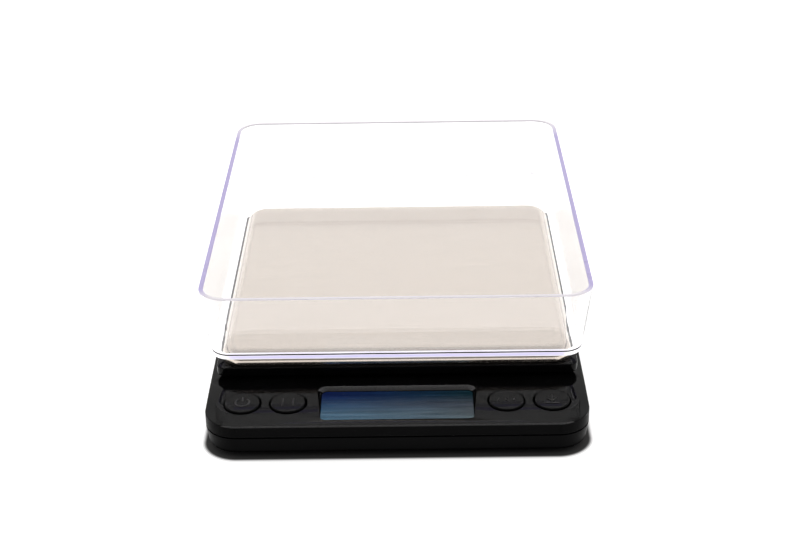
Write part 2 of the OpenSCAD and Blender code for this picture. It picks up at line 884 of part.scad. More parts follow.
module upper_case() {
  color(black_plastic)
    from_front()
      difference() {
        union() {
          difference() {
            upper_outside();
            upper_inside();
            seam_rebate();
          }
          intersection() {
            upper_outside();
            slab(lcd_w + 2 * frame_w, case_wall / 2, lcd_back + frame_w, ledge_low_z, deck_z);
          }
          intersection() {
            below_panel(deck_t / 2);
            at_board_post()
              post(post_d, board_z, deck_z);
          }
          block(island_w, island_w, island_r, platform_y, deck_z - deck_t, island_z);
        }
        block(island_in_w, island_in_w, island_r - island_t, platform_y, seam_z - cut, island_in_z);
        display_opening();
        for (x = button_x)
          translate([x, button_y, 0])
            post(button_d + 2 * button_gap, seam_z, deck_z + cut);
        at_board_post()
          post(board_hole_d, board_z - cut, board_z + board_reach);
        translate([cell_end_x, platform_y, 0])
          slab(boss_hole_w, -cell_w / 2 - boss_gap, cell_w / 2 + boss_gap, seam_z, island_z + cut);
      }
  color(black_plastic)
    from_front()
      at_boss()
        difference() {
          post(boss_d, seam_z, island_in_z + island_t / 2);
          post(case_screw_d + 2 * fit_gap, seam_z - cut, seam_z + case_reach + cut);
        }
}

// Display

module lcd_window() {
  color([0.1, 0.16, 0.24, 0.5])
    from_front()
      block(lcd_w, lcd_d, lcd_r, lcd_front + lcd_d / 2, lens_low_z, lens_z);
}

module lcd_glass() {
  color("#1d3f66")
    from_front()
      slab(glass_w, glass_front, glass_back, glass_low_z, glass_z);
}

module backlight_guide() {
  color("#e8eef2")
    from_front()
      slab(lcd_w, lcd_front, glass_back - zebra_d - fit_gap, board_z, glass_low_z);
}

module zebra_strip() {
  color("#d58fa0")
    from_front()
      slab(zebra_w, glass_back - zebra_d, glass_back, board_z, glass_low_z);
}

// Circuit board

module main_board() {
  color(board_green)
    from_front()
      difference() {
        block(board_w, board_d, board_r, board_front + board_d / 2, board_low_z, board_z);
        at_board_post()
          post(board_hole_d, board_low_z - cut, board_z + cut);
      }
}

module board_screws() {
  color(nickel)
    from_front()
      at_board_post()
        screw_up(board_head_d, board_head_h, board_screw_d, board_low_z, board_z + board_reach - 2 * fit_gap);
}

module controller_chip() {
  color("#222326")
    from_front()
      translate([-inner_x, chip_y, board_z + chip_size[2] / 2])
        cube(chip_size, center = true);
}

module board_components() {
  color("#b08d57")
    from_front()
      for (i = [-1:1])
        translate([inner_x + i * part_pitch / 2, chip_y, board_z + part_size[2] / 2])
          cube([part_size[0] / 2, part_size[1], part_size[2]], center = true);
}

module tact_switches() {
  color("#2b2c2f")
    from_front()
      for (x = button_x)
        translate([x, button_y, 0])
          difference() {
            slab(switch_w, -switch_w / 2, switch_w / 2, board_z, switch_z);
            post(plunger_d + 2 * fit_gap, switch_z - plunger_in - plunger_travel, switch_z + cut);
          }
}

// One button: a round cap that follows the panel's slope, a hidden flange and a stem
module button(x) {
  color(black_plastic)
    from_front() {
      intersection() {
        translate([x, button_y, 0])
          post(button_d, flange_z, deck_z + button_proud + cut);
        below_panel(-button_proud);
      }
      intersection() {
        translate([x, button_y, 0])
          post(2 * flange_r, flange_z, deck_z);
        below_panel(deck_t + fit_gap);
      }
      translate([x, button_y, 0])
        post(stem_d, plunger_z, flange_z + flange_t / 2);
    }
}

module plunger(x) {
  color("#3a3b3e")
    from_front()
      translate([x, button_y, 0])
        post(plunger_d, switch_z - plunger_in, plunger_z);
}

module power_button() {
  button(button_x[0]);
}

module mode_button() {
  button(button_x[1]);
}

module count_button() {
  button(button_x[2]);
}

module tare_button() {
  button(button_x[3]);
}

module power_plunger() {
  plunger(button_x[0]);
}

module mode_plunger() {
  plunger(button_x[1]);
}

module count_plunger() {
  plunger(button_x[2]);
}

module tare_plunger() {
  plunger(button_x[3]);
}

// Load cell

module load_cell() {
  color(aluminium)
    from_front()
      difference() {
        slab(cell_l, platform_y - cell_w / 2, platform_y + cell_w / 2, cell_z, cell_top_z);
        translate([0, platform_y, cell_z + cell_h / 2])
          rotate([90, 0, 0])
            translate([0, 0, -cell_w]) {
              for (x = [-1, 1])
                translate([x * cutout_pitch / 2, 0, 0])
                  cylinder(d = cutout_d, h = 2 * cell_w);
              translate([-cutout_pitch / 2, -cutout_slot / 2, 0])
                cube([cutout_pitch, cutout_slot, 2 * cell_w]);
            }
        for (end = [-1, 1])
          at_cell_screw(end)
            post(m3_hole, cell_z - cut, cell_top_z + cut);
      }
}

// The four gauges, over and under the two thin places of the load cell
module strain_gauges() {
  color("#c8a24a")
    from_front()
      for (x = [-1, 1], z = [cell_top_z, cell_z - gauge_size[2]])
        translate([x * cutout_pitch / 2 - gauge_size[0] / 2, platform_y - gauge_size[1] / 2, z])
          cube(gauge_size);
}

module gauge_sealant() {
  seal_w = cell_w - 2 * sealant_edge;
  color("#e9e9e4")
    from_front()
      for (side = [0, 1]) {
        seal_low = side == 0 ? cell_top_z : cell_z - sealant_t;
        gauge_low = side == 0 ? cell_top_z : cell_z - gauge_size[2];
        difference() {
          slab(sealant_l, platform_y - seal_w / 2, platform_y + seal_w / 2, seal_low, seal_low + sealant_t);
          for (x = [-1, 1])
            translate([x * cutout_pitch / 2 - gauge_size[0] / 2, platform_y - gauge_size[1] / 2, gauge_low])
              cube(gauge_size);
        }
      }
}

module load_cell_screws() {
  color(nickel)
    from_front()
      at_cell_screw(-1)
        screw_up(m3_head_d, m3_head_h, m3_d, cell_head_z, cell_z + m3_reach);
}

module load_cell_leads() {
  color("#c23b3b")
    from_front()
      for (i = [0:cell_lead_count - 1])
        tube(cell_lead((i - cell_lead_count / 2) * wire_pitch), wire_d, wire_sides, [1, 0, 0]);
}

// Batteries

// One cell lying along X, its nub pointing to the given side
module battery(row, side) {
  color("#2f6f4f")
    from_front()
      translate([side * (spring_seat - dimple_l - battery_l), bay_y + row * cell_row, battery_z])
        rotate([0, side * 90, 0]) {
          cylinder(d = battery_d, h = battery_l - nub_l);
          cylinder(d = nub_d, h = battery_l);
        }
}

module battery_1() {
  battery(-1, -1);
}

module battery_2() {
  battery(1, 1);
}

// Conical contact springs, one at each cell's flat end, each one unbroken wire
module contact_springs() {
  rings = 8 * spring_turns;
  bend_base = spring_r_base - spring_wire / 2;
  bend_tip = spring_r_tip - spring_wire / 2;
  path = [
    for (i = [0:rings])
      let (share = i / rings, turn = 360 * spring_turns * share)
        let (r = bend_base + (bend_tip - bend_base) * share)
          [r * cos(turn), r * sin(turn), spring_wire / 2 + (spring_l - spring_wire) * share]
  ];
  echo(least_gap_between_turns = (spring_l - spring_wire) / spring_turns - spring_wire);
  color(nickel)
    from_front()
      for (row = [-1, 1])
        translate([-row * spring_seat, bay_y + row * cell_row, battery_z])
          rotate([0, row * 90, 0])
            tube(path, spring_wire, spring_sides, [0, 0, 1]);
}

// Contact plates: two with solder tabs at the left, one that links both cells at the right
module contact_plates() {
  color(nickel)
    from_front() {
      for (row = [-1, 1])
        translate([-bay_l / 2, bay_y + row * cell_row, battery_z]) {
          translate([0, -contact_w / 2, -contact_h / 2])
            cube([contact_t, contact_w, contact_h]);
          translate([-tab_l, -tab_w / 2, -contact_t / 2])
            cube([tab_l + contact_t / 2, tab_w, contact_t]);
        }
      translate([spring_seat, bay_y - cell_row - contact_w / 2, battery_z - contact_h / 2])
        cube([contact_t, 2 * cell_row + contact_w, contact_h]);
      for (row = [-1, 1])
        translate([row * (spring_seat - dimple_l), bay_y + row * cell_row, battery_z])
          rotate([0, row * 90, 0])
            cylinder(d = dimple_d, h = dimple_l + contact_t / 2);
    }
}

module battery_leads() {
  color("#a52a2a")
    from_front() {
      tube(battery_lead(-1, tab_x - 3, -lcd_w / 2), wire_d, wire_sides, [0, 0, 1]);
      tube(battery_lead(1, tab_x - 5.5, -lcd_w / 2 - 2 * wire_pitch), wire_d, wire_sides, [0, 0, 1]);
    }
}

// Platform

module plate_support() {
  color(black_plastic)
    from_front() {
      difference() {
        union() {
          block(support_w, support_w, support_r, platform_y, support_low_z, ledge_z);
          swept_block(core_w, core_w, core_r, platform_y, ledge_z - web_t, support_z)
            cap_section(core_r, bend_r, ledge_z - web_t, support_z);
        }
        block(hollow_w, hollow_w, support_r, platform_y, support_low_z - cut, ledge_z - web_t);
        swept_block(core_in_w, core_in_w, core_r - web_t, platform_y, ledge_z - web_t - cut, web_z)
          cap_section(core_r - web_t, web_r, ledge_z - web_t - cut, web_z);
        support_holes();
      }
      difference() {
        translate([cell_end_x, platform_y, 0])
          slab(cell_end, -cell_w / 2, cell_w / 2, cell_top_z, web_z + web_t / 2);
        support_holes();
      }
    }
}

// Screw holes of the support, sunk for the heads under the steel plate
module support_holes() {
  at_cell_screw(1) {
    post(m3_hole, cell_top_z - cut, support_z + cut);
    post(m3_head_d + 2 * fit_gap, support_head_z, support_z + cut);
  }
}

module support_screws() {
  color(nickel)
    from_front()
      at_cell_screw(1)
        screw_down(m3_head_d, m3_head_h, m3_d, support_head_z, cell_top_z - m3_reach);
}

module plate_tape() {
  color("#e6e2d6")
    from_front()
      difference() {
        block(core_w - 2 * tape_edge, core_w - 2 * tape_edge, core_r, platform_y, support_z, plate_in_z);
        translate([cell_end_x, platform_y, 0])
          slab(boss_hole_w, -cell_w / 2, cell_w / 2, support_z - cut, plate_z);
      }
}

module weighing_plate() {
  inner_w = plate_w - 2 * sheet_t;
  color(steel)
    from_front()
      difference() {
        swept_block(plate_w, plate_w, plate_r, platform_y, skirt_z, plate_z)
          cap_section(plate_r, bend_r, skirt_z, plate_z);
        swept_block(inner_w, inner_w, plate_r - sheet_t, platform_y, skirt_z - cut, plate_in_z)
          cap_section(plate_r - sheet_t, bend_in_r, skirt_z - cut, plate_in_z);
      }
}

// Tray

module weighing_tray() {
  foot_w = tray_w - 2 * tray_draft;
  foot_depth = tray_d - 2 * tray_draft;
  inner_r = foot_r - tray_wall / cos(tray_lean) + tray_wall * tan(tray_lean);
  floor_top_z = plate_z + tray_wall;
  rim_z = plate_z + tray_h;
  color(clear_plastic)
    from_front()
      difference() {
        swept_block(foot_w, foot_depth, foot_r, tray_y, plate_z, rim_z)
          cup_section(foot_r, tray_foot_r, tray_lean, plate_z, rim_z);
        swept_block(foot_w, foot_depth, foot_r, tray_y, floor_top_z, rim_z + cut)
          cup_section(inner_r, tray_inner_r, tray_lean, floor_top_z, rim_z + cut);
      }
}

lower_case();
upper_case();
battery_door();
rubber_feet();
case_screws();
lcd_window();
lcd_glass();
backlight_guide();
zebra_strip();
main_board();
board_screws();
controller_chip();
board_components();
tact_switches();
power_button();
mode_button();
count_button();
tare_button();
power_plunger();
mode_plunger();
count_plunger();
tare_plunger();
load_cell();
strain_gauges();
gauge_sealant();
load_cell_screws();
load_cell_leads();
battery_1();
battery_2();
contact_springs();
contact_plates();
battery_leads();
plate_support();
support_screws();
plate_tape();
weighing_plate();
weighing_tray();
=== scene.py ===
# %% [markdown]
# A digital gram scale: a low black case, a brushed steel weighing plate and a clear lift-off tray.
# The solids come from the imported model, already in place and in metres. This lesson dresses them:
# it remodels what the eye meets first, with finer edges, and gives every piece a procedural finish.

# %% Load the frame
import math
import bmesh
import bpy
from mathutils import Matrix, Vector


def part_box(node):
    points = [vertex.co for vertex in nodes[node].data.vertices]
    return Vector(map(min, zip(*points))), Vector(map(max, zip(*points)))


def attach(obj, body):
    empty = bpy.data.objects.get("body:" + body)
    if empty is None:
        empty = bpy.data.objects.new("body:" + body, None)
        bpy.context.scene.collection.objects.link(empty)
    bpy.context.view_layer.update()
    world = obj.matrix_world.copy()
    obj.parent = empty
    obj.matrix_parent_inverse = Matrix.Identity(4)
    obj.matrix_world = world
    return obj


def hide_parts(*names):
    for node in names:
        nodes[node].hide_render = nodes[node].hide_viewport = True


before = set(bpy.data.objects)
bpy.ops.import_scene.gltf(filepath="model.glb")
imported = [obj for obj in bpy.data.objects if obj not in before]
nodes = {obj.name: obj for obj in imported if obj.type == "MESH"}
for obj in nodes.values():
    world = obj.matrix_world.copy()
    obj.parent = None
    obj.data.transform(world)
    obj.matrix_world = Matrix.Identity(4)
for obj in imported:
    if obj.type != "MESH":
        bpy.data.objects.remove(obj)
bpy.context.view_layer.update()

MM = 0.001


def in_mm(corner):
    """A corner of a box in millimetres, rounded for printing."""
    return [round(v / MM, 2) for v in corner]


# %% [markdown]
# The camera stands where the photographer stood: in front, a little above, looking down at about
# 26 degrees through a longish lens. Building its matrix from three turns keeps each angle readable.

# %% Camera
camera_place = Vector((0.00394, -0.43877, 0.23836))
camera_turn = math.radians(0.394)
camera_down = math.radians(26.411)
camera_roll = math.radians(-0.881)
camera_data = bpy.data.cameras.new("camera")
camera_data.sensor_width = 36.0
camera_data.lens = 70.9
camera_data.clip_start = 0.01
camera = bpy.data.objects.new("camera", camera_data)
bpy.context.scene.collection.objects.link(camera)
camera.matrix_world = (
    Matrix.Translation(camera_place)
    @ Matrix.Rotation(camera_turn, 4, "Z")
    @ Matrix.Rotation(math.pi / 2 - camera_down, 4, "X")
    @ Matrix.Rotation(camera_roll, 4, "Z")
)
bpy.context.scene.camera = camera
print("camera at", [round(v, 3) for v in camera.location])

# %% [markdown]
# Finishes and surroundings are small node trees, and the same few helpers build them all. Each helper
# takes the owner of the tree, a material or the world. A value from 0 to 1 drives a run of colours
# through its stops, and a grey is written as one number.

# %% Node helpers
def add(owner, kind, **settings):
    """A new node with some of its own settings or its input sockets set."""
    node = owner.node_tree.nodes.new(kind)
    for key, value in settings.items():
        if hasattr(node, key):
            setattr(node, key, value)
        else:
            node.inputs[key.replace("_", " ").title()].default_value = value
    return node


def link(owner, source, target):
    owner.node_tree.links.new(source, target)


def span(owner, source, start, end, **settings):
    """Maps the run from start to end onto 0 to 1, or onto what to_min and to_max say."""
    node = add(owner, "ShaderNodeMapRange", from_min=start, from_max=end, **settings)
    link(owner, source, node.inputs["Value"])
    return node.outputs["Result"]


def set_stop(stop, position, value):
    is_grey = isinstance(value, (int, float))
    stop.position = position
    stop.color = (value, value, value, 1) if is_grey else (*value, 1)


def colour_run(owner, source, *stops):
    """A run of colours through (position, colour) stops in rising order."""
    node = add(owner, "ShaderNodeValToRGB")
    elements = node.color_ramp.elements
    first, *between, last = stops
    set_stop(elements[0], *first)
    set_stop(elements[-1], *last)
    for position, value in between:
        set_stop(elements.new(position), position, value)
    link(owner, source, node.inputs["Fac"])
    return node.outputs["Color"]


print("node helpers ready")

# %% [markdown]
# The light is soft and comes from above and behind, as in product photos on a white table, with a
# weaker lamp at each side. The wide lamp that stands behind the scale is what the steel and the
# glossy plastic mirror.

# %% Lamps
def soft_lamp(name, place, aim, width, height, power):
    data = bpy.data.lights.new(name, "AREA")
    data.shape = "RECTANGLE"
    data.size = width
    data.size_y = height
    data.energy = power
    lamp = bpy.data.objects.new(name, data)
    lamp.location = place
    lamp.rotation_euler = (Vector(aim) - Vector(place)).to_track_quat("-Z", "Y").to_euler()
    bpy.context.scene.collection.objects.link(lamp)
    print(name, power, "W")


soft_lamp("lamp_above", place=(0.0, 0.6, 1.1), aim=(0, 0, 0), width=1.8, height=1.0, power=1.5)
soft_lamp("lamp_behind", place=(0.0, 1.2, 0.6), aim=(0, 0, 0.05), width=3.0, height=0.8, power=2.2)
for name, side in (("lamp_left", -1.0), ("lamp_right", 1.0)):
    soft_lamp(name, place=(side, 0.1, 0.4), aim=(0, 0, 0.02), width=1.2, height=0.8, power=1.0)

# %% [markdown]
# The surroundings are a gradient along an axis that leans back: bright behind and overhead, dimmer
# towards the camera, so that the front wall of a black case reads as black. The direction that a ray
# takes, measured along that axis, drives the run. The plain view transform keeps white paper white.

# %% Surroundings
leaning_back = (0.0, 0.95, 0.31)
front_grey = (0.28, 0.275, 0.27)
side_grey = (0.66, 0.65, 0.64)
back_white = (0.90, 0.89, 0.88)
world = bpy.data.worlds.new("studio")
bpy.context.scene.world = world
world.use_nodes = True
direction = add(world, "ShaderNodeTexCoord")
backward = add(world, "ShaderNodeVectorMath", operation="DOT_PRODUCT")
backward.inputs[1].default_value = leaning_back
link(world, direction.outputs["Generated"], backward.inputs[0])
back_share = span(world, backward.outputs["Value"], -1.0, 1.0)
shade = colour_run(world, back_share, (0.40, front_grey), (0.52, side_grey), (0.96, back_white))
link(world, shade, world.node_tree.nodes["Background"].inputs["Color"])
bpy.context.scene.view_settings.view_transform = "Standard"
print("surroundings", world.name)

# %% [markdown]
# The floor is one level sheet, so wide that a low view from the side doesn't reach its end. It is
# stage and not part of the scale.

# %% Floor
floor_side = 40.0
floor_bm = bmesh.new()
bmesh.ops.create_grid(floor_bm, x_segments=8, y_segments=8, size=floor_side / 2)
floor_mesh = bpy.data.meshes.new("floor")
floor_bm.to_mesh(floor_mesh)
floor_bm.free()
floor = bpy.data.objects.new("floor", floor_mesh)
bpy.context.scene.collection.objects.link(floor)
print("floor", floor_side, "m wide")

# %% [markdown]
# A finish starts from the main shader, and patterns feed its sockets. Patterns read Object
# coordinates, which are metres here, so a scale of 2000 means features of half a millimetre.

# %% Finish helpers
def new_material(name):
    """A node material and its main shader."""
    material = bpy.data.materials.new(name)
    material.use_nodes = True
    return material, material.node_tree.nodes["Principled BSDF"]


def place_of(material, stretch=(1, 1, 1)):
    """Object coordinates, stretched where a grain runs one way."""
    coordinates = add(material, "ShaderNodeTexCoord")
    mapping = add(material, "ShaderNodeMapping")
    mapping.inputs["Scale"].default_value = stretch
    link(material, coordinates.outputs["Object"], mapping.inputs["Vector"])
    return mapping.outputs["Vector"]


def along(material, axis):
    """The Object coordinate of one axis."""
    parts = add(material, "ShaderNodeSeparateXYZ")
    link(material, place_of(material), parts.inputs["Vector"])
    return parts.outputs[axis.upper()]


def noise(material, scale, detail=2.0, stretch=(1, 1, 1)):
    texture = add(material, "ShaderNodeTexNoise", scale=scale, detail=detail)
    link(material, place_of(material, stretch), texture.inputs["Vector"])
    return texture.outputs["Fac"]


def ramp(material, source, low, high, start=0.3, end=0.7):
    """Turns a pattern into a run between two greys or two colours."""
    return colour_run(material, source, (start, low), (end, high))


def bump(material, shader, source, height):
    node = add(material, "ShaderNodeBump", distance=height)
    link(material, source, node.inputs["Height"])
    link(material, node.outputs["Normal"], shader.inputs["Normal"])


print("finish helpers ready")

# %% [markdown]
# The floor has to know how far each of its points lies from the case, because its shadow and the
# painted contact shadow depend on that. The case's outline is a rectangle with round corners. So the
# way beyond the corners' centres is found along X and along Y, and the length of the two together is
# the distance from that core.

# %% Distance from the case
shell_low, shell_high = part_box("lower_case")
shell_middle = (shell_low + shell_high) / 2
shell_half = (shell_high - shell_low) / 2
case_corner = 9 * MM
paper, shader = new_material("white_paper")


def work_out(operation, source, amount=0.0):
    """One step of arithmetic on a value in the paper's node tree."""
    node = add(paper, "ShaderNodeMath", operation=operation)
    node.inputs[1].default_value = amount
    link(paper, source, node.inputs[0])
    return node.outputs["Value"]


def beyond_core(axis):
    """How far a point lies along one axis beyond the centres of the case's corners."""
    centred = work_out("SUBTRACT", along(paper, axis), getattr(shell_middle, axis))
    size = work_out("ABSOLUTE", centred)
    beyond = work_out("SUBTRACT", size, getattr(shell_half, axis) - case_corner)
    return work_out("MAXIMUM", beyond)


away = add(paper, "ShaderNodeCombineXYZ")
link(paper, beyond_core("x"), away.inputs["X"])
link(paper, beyond_core("y"), away.inputs["Y"])
distance = add(paper, "ShaderNodeVectorMath", operation="LENGTH")
link(paper, away.outputs["Vector"], distance.inputs[0])
print("case", in_mm(2 * shell_half), "mm, corners", round(case_corner / MM, 1), "mm")

# %% [markdown]
# The floor is matt white paper with the faintest mottle. A weak glow of its own stands for the light
# that a lit studio throws back from all sides. The glow fades out under the case and close round it,
# so the shadow stays thin and dark there. The paper's colour is also painted dark right at the case:
# a painted contact shadow, a hard dark line along the case's foot.

# %% Floor finish
shadow_start = 0.1 * MM
shadow_end = 1.7 * MM
contact_shadow_start = 0.2 * MM
contact_shadow_dark = 0.08
floor_glow = 0.68
paper_greys = (0.93, 0.96)


def near_case(start, **ends):
    """A smooth run over the floor, from a distance to the case out to the shadow's end."""
    return span(paper, distance.outputs["Value"], case_corner + start, case_corner + shadow_end,
                interpolation_type="SMOOTHSTEP", **ends)


# Painted shade: close to the case the paper's colour is multiplied darker, a painted contact shadow.
painted_shadow_mix = add(paper, "ShaderNodeMix", data_type="RGBA", blend_type="MULTIPLY", factor=1.0)
link(paper, ramp(paper, noise(paper, scale=3.0), *paper_greys), painted_shadow_mix.inputs["A"])
link(paper, near_case(contact_shadow_start, to_min=contact_shadow_dark), painted_shadow_mix.inputs["B"])
link(paper, painted_shadow_mix.outputs["Result"], shader.inputs["Base Color"])
link(paper, near_case(shadow_start, to_max=floor_glow), shader.inputs["Emission Strength"])
shader.inputs["Emission Color"].default_value = (1.0, 1.0, 1.0, 1)
shader.inputs["Roughness"].default_value = 0.9
shader.inputs["Specular IOR Level"].default_value = 0.1
floor_mesh.materials.append(paper)
print("finish", paper.name)

# %% [markdown]
# Moulded plastic, rubber and film: a colour that varies a little, a roughness that varies a little
# and a fine grain pressed in by the mould. One function makes them all, with the grain's size and
# depth as the driving values.

# %% Moulded finishes
def moulded(name, colours, rough, grain, depth, gloss=0.5):
    material, shader = new_material(name)
    clouds = noise(material, scale=60.0, detail=4.0)
    link(material, ramp(material, clouds, *colours), shader.inputs["Base Color"])
    fine = noise(material, scale=1.0 / grain)
    link(material, ramp(material, fine, *rough), shader.inputs["Roughness"])
    bump(material, shader, fine, depth)
    shader.inputs["Specular IOR Level"].default_value = gloss
    print("finish", name)
    return material


black = ((0.0012, 0.0012, 0.0013), (0.0022, 0.0022, 0.0024))
case_plastic = moulded(
    "case_plastic", black, rough=(0.04, 0.07), grain=0.35 * MM, depth=0.001 * MM, gloss=0.085)
button_plastic = moulded(
    "button_plastic", black, rough=(0.04, 0.07), grain=0.35 * MM, depth=0.001 * MM, gloss=0.085)
wall_plastic = moulded(
    "wall_plastic", black, rough=(0.30, 0.40), grain=0.25 * MM, depth=0.003 * MM, gloss=0.03)
# A grey lighter than the black: a painted highlight for two narrow strips of the upper shell.
painted_highlight_plastic = moulded(
    "painted_highlight_plastic", ((0.026, 0.026, 0.027), (0.034, 0.034, 0.035)),
    rough=(0.25, 0.35), grain=0.25 * MM, depth=0.002 * MM, gloss=0.6)
sign_plastic = moulded(
    "sign_plastic", (0.012, 0.020), rough=(0.35, 0.5), grain=0.2 * MM, depth=0.002 * MM, gloss=0.3)
foot_rubber = moulded(
    "foot_rubber", (0.010, 0.018), rough=(0.75, 0.9), grain=0.25 * MM, depth=0.02 * MM, gloss=0.3)

# %% [markdown]
# The pieces inside don't show while the case is closed. They are finished in the same way, so that
# an opened scale looks right on the bench: rubber, resin, film, laminate, wire and battery cans.

# %% Moulded finishes inside the case
contact_rubber = moulded(
    "contact_rubber", ((0.42, 0.20, 0.24), (0.50, 0.25, 0.29)),
    rough=(0.6, 0.8), grain=0.3 * MM, depth=0.01 * MM)
light_guide = moulded(
    "light_guide", ((0.75, 0.80, 0.84), (0.82, 0.86, 0.88)),
    rough=(0.2, 0.3), grain=0.8 * MM, depth=0.004 * MM)
chip_resin = moulded(
    "chip_resin", ((0.014, 0.014, 0.016), (0.022, 0.022, 0.024)),
    rough=(0.5, 0.65), grain=0.15 * MM, depth=0.006 * MM)
switch_plastic = moulded(
    "switch_plastic", ((0.018, 0.018, 0.02), (0.028, 0.028, 0.03)),
    rough=(0.4, 0.55), grain=0.3 * MM, depth=0.005 * MM)
gauge_film = moulded(
    "gauge_film", ((0.55, 0.32, 0.08), (0.65, 0.40, 0.12)),
    rough=(0.25, 0.4), grain=0.5 * MM, depth=0.003 * MM)
sealant = moulded(
    "sealant", ((0.74, 0.72, 0.68), (0.84, 0.83, 0.80)),
    rough=(0.3, 0.5), grain=2.0 * MM, depth=0.15 * MM)
wire_cover = moulded(
    "wire_cover", ((0.30, 0.015, 0.012), (0.40, 0.025, 0.02)),
    rough=(0.35, 0.5), grain=0.8 * MM, depth=0.01 * MM)
battery_can = moulded(
    "battery_can", ((0.06, 0.09, 0.16), (0.08, 0.12, 0.20)),
    rough=(0.2, 0.3), grain=1.5 * MM, depth=0.003 * MM)
foam_tape = moulded(
    "foam_tape", ((0.74, 0.72, 0.66), (0.82, 0.80, 0.74)),
    rough=(0.8, 0.95), grain=0.4 * MM, depth=0.03 * MM)
board_laminate = moulded(
    "board_laminate", ((0.008, 0.075, 0.030), (0.012, 0.10, 0.042)),
    rough=(0.25, 0.4), grain=0.6 * MM, depth=0.01 * MM)

# %% [markdown]
# Metals: a brushed grain is noise stretched far along one axis. It breaks up the roughness and
# leaves fine scratches in the surface, and that is what draws a highlight out into a streak.

# %% Metal finishes
def brushed(name, colours, rough, stretch, depth):
    material, shader = new_material(name)
    grain = noise(material, scale=1.0, detail=3.0, stretch=stretch)
    link(material, ramp(material, grain, *colours), shader.inputs["Base Color"])
    link(material, ramp(material, grain, *rough), shader.inputs["Roughness"])
    bump(material, shader, grain, depth)
    shader.inputs["Metallic"].default_value = 1.0
    print("finish", name)
    return material


plate_steel = brushed(
    "plate_steel", ((0.60, 0.53, 0.465), (0.68, 0.61, 0.545)),
    rough=(0.12, 0.20), stretch=(60, 4500, 60), depth=0.002 * MM)
screw_steel = brushed(
    "screw_steel", ((0.50, 0.51, 0.53), (0.60, 0.61, 0.63)),
    rough=(0.25, 0.4), stretch=(2500, 2500, 200), depth=0.003 * MM)
contact_nickel = brushed(
    "contact_nickel", ((0.60, 0.60, 0.60), (0.70, 0.70, 0.69)),
    rough=(0.2, 0.35), stretch=(500, 3000, 500), depth=0.002 * MM)
cell_aluminium = brushed(
    "cell_aluminium", ((0.68, 0.69, 0.70), (0.80, 0.81, 0.82)),
    rough=(0.3, 0.5), stretch=(3000, 200, 200), depth=0.004 * MM)
solder_parts = brushed(
    "solder_parts", ((0.42, 0.33, 0.20), (0.52, 0.42, 0.27)),
    rough=(0.4, 0.6), stretch=(900, 900, 900), depth=0.004 * MM)

# %% [markdown]
# Clear plastic is glass to the renderer. Lamps can't find their way through glass quickly, so
# shadow rays meet a transparent shader instead, and what lies under the tray stays lit. The window
# over the display bends light very little, so that it adds hardly any gloss to the film below.

# %% Clear finishes
def haze(material):
    """Faint clouds that break up a clear surface."""
    return noise(material, scale=90.0, detail=3.0)


def clear(name, tint, index, rough):
    material, shader = new_material(name)
    shader.inputs["Base Color"].default_value = (*tint, 1)
    shader.inputs["Transmission Weight"].default_value = 1.0
    shader.inputs["IOR"].default_value = index
    link(material, ramp(material, haze(material), *rough), shader.inputs["Roughness"])
    through = add(material, "ShaderNodeBsdfTransparent")
    through.inputs["Color"].default_value = (*tint, 1)
    path = add(material, "ShaderNodeLightPath")
    mix = add(material, "ShaderNodeMixShader")
    link(material, path.outputs["Is Shadow Ray"], mix.inputs[0])
    link(material, shader.outputs["BSDF"], mix.inputs[1])
    link(material, through.outputs["BSDF"], mix.inputs[2])
    output = material.node_tree.nodes["Material Output"]
    link(material, mix.outputs["Shader"], output.inputs["Surface"])
    print("finish", name)
    return material


clear_styrene = clear("clear_styrene", tint=(0.998, 0.997, 1.0), index=1.46, rough=(0.0, 0.02))
window_plastic = clear("window_plastic", tint=(0.97, 0.985, 1.0), index=1.07, rough=(0.02, 0.05))

# %% [markdown]
# Light that is caught inside a clear sheet leaves it at its edges, so they look brighter than the
# wall and faintly violet. Here that light is painted: the tray's edges get finishes of their own,
# painted pale and violet, with a weak glow that is painted light. Along the front foot the painted
# colour runs with height: white, violet and white again, the white bands being painted highlights
# where the rounded foot bends light. The foot is painted plain white elsewhere. The rim is painted
# white in front and at the back, and violet along the sides.

# %% Lit edges
tray_low, tray_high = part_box("weighing_tray")
edge_rough = (0.25, 0.4)
foot_glow = 0.6
rim_glow = 0.12
lit_height = 2 * MM
low_painted_white = (0.95, 0.93, 0.96)
high_painted_white = (0.95, 0.92, 0.97)
foot_painted_violet = (0.70, 0.66, 0.98)
rim_painted_white = (0.90, 0.86, 0.92)
rim_painted_violet = (0.50, 0.44, 0.76)
foot_painted_whites = ((0.90, 0.89, 0.91), (0.95, 0.94, 0.96))


def paint_edge_light(material, shader, tint, strength):
    """Paints an edge with light: a painted tint, a weak painted glow of the same tint and a hazy surface.
    """
    link(material, tint, shader.inputs["Base Color"])
    link(material, tint, shader.inputs["Emission Color"])
    shader.inputs["Emission Strength"].default_value = strength
    link(material, ramp(material, haze(material), *edge_rough), shader.inputs["Roughness"])
    print("finish", material.name)


# Painted light: the edge finishes below are tinted and glow to stand for light piped through the sheet.
lit_edge, shader = new_material("lit_edge")
height_share = span(lit_edge, along(lit_edge, "z"), tray_low.z, tray_low.z + lit_height)
front_painted_light = colour_run(lit_edge, height_share, (0.20, low_painted_white), (0.30, foot_painted_violet),
                        (0.60, foot_painted_violet), (0.70, high_painted_white))
paint_edge_light(lit_edge, shader, front_painted_light, foot_glow)

foot_edge, shader = new_material("foot_edge")
paint_edge_light(foot_edge, shader, ramp(foot_edge, haze(foot_edge), *foot_painted_whites), foot_glow)

rim_edge, shader = new_material("rim_edge")
depth_share = span(rim_edge, along(rim_edge, "y"), tray_low.y, tray_high.y)
rim_painted_light = colour_run(rim_edge, depth_share, (0.012, rim_painted_white), (0.05, rim_painted_violet),
                      (0.88, rim_painted_violet), (0.97, rim_painted_white))
paint_edge_light(rim_edge, shader, rim_painted_light, rim_glow)
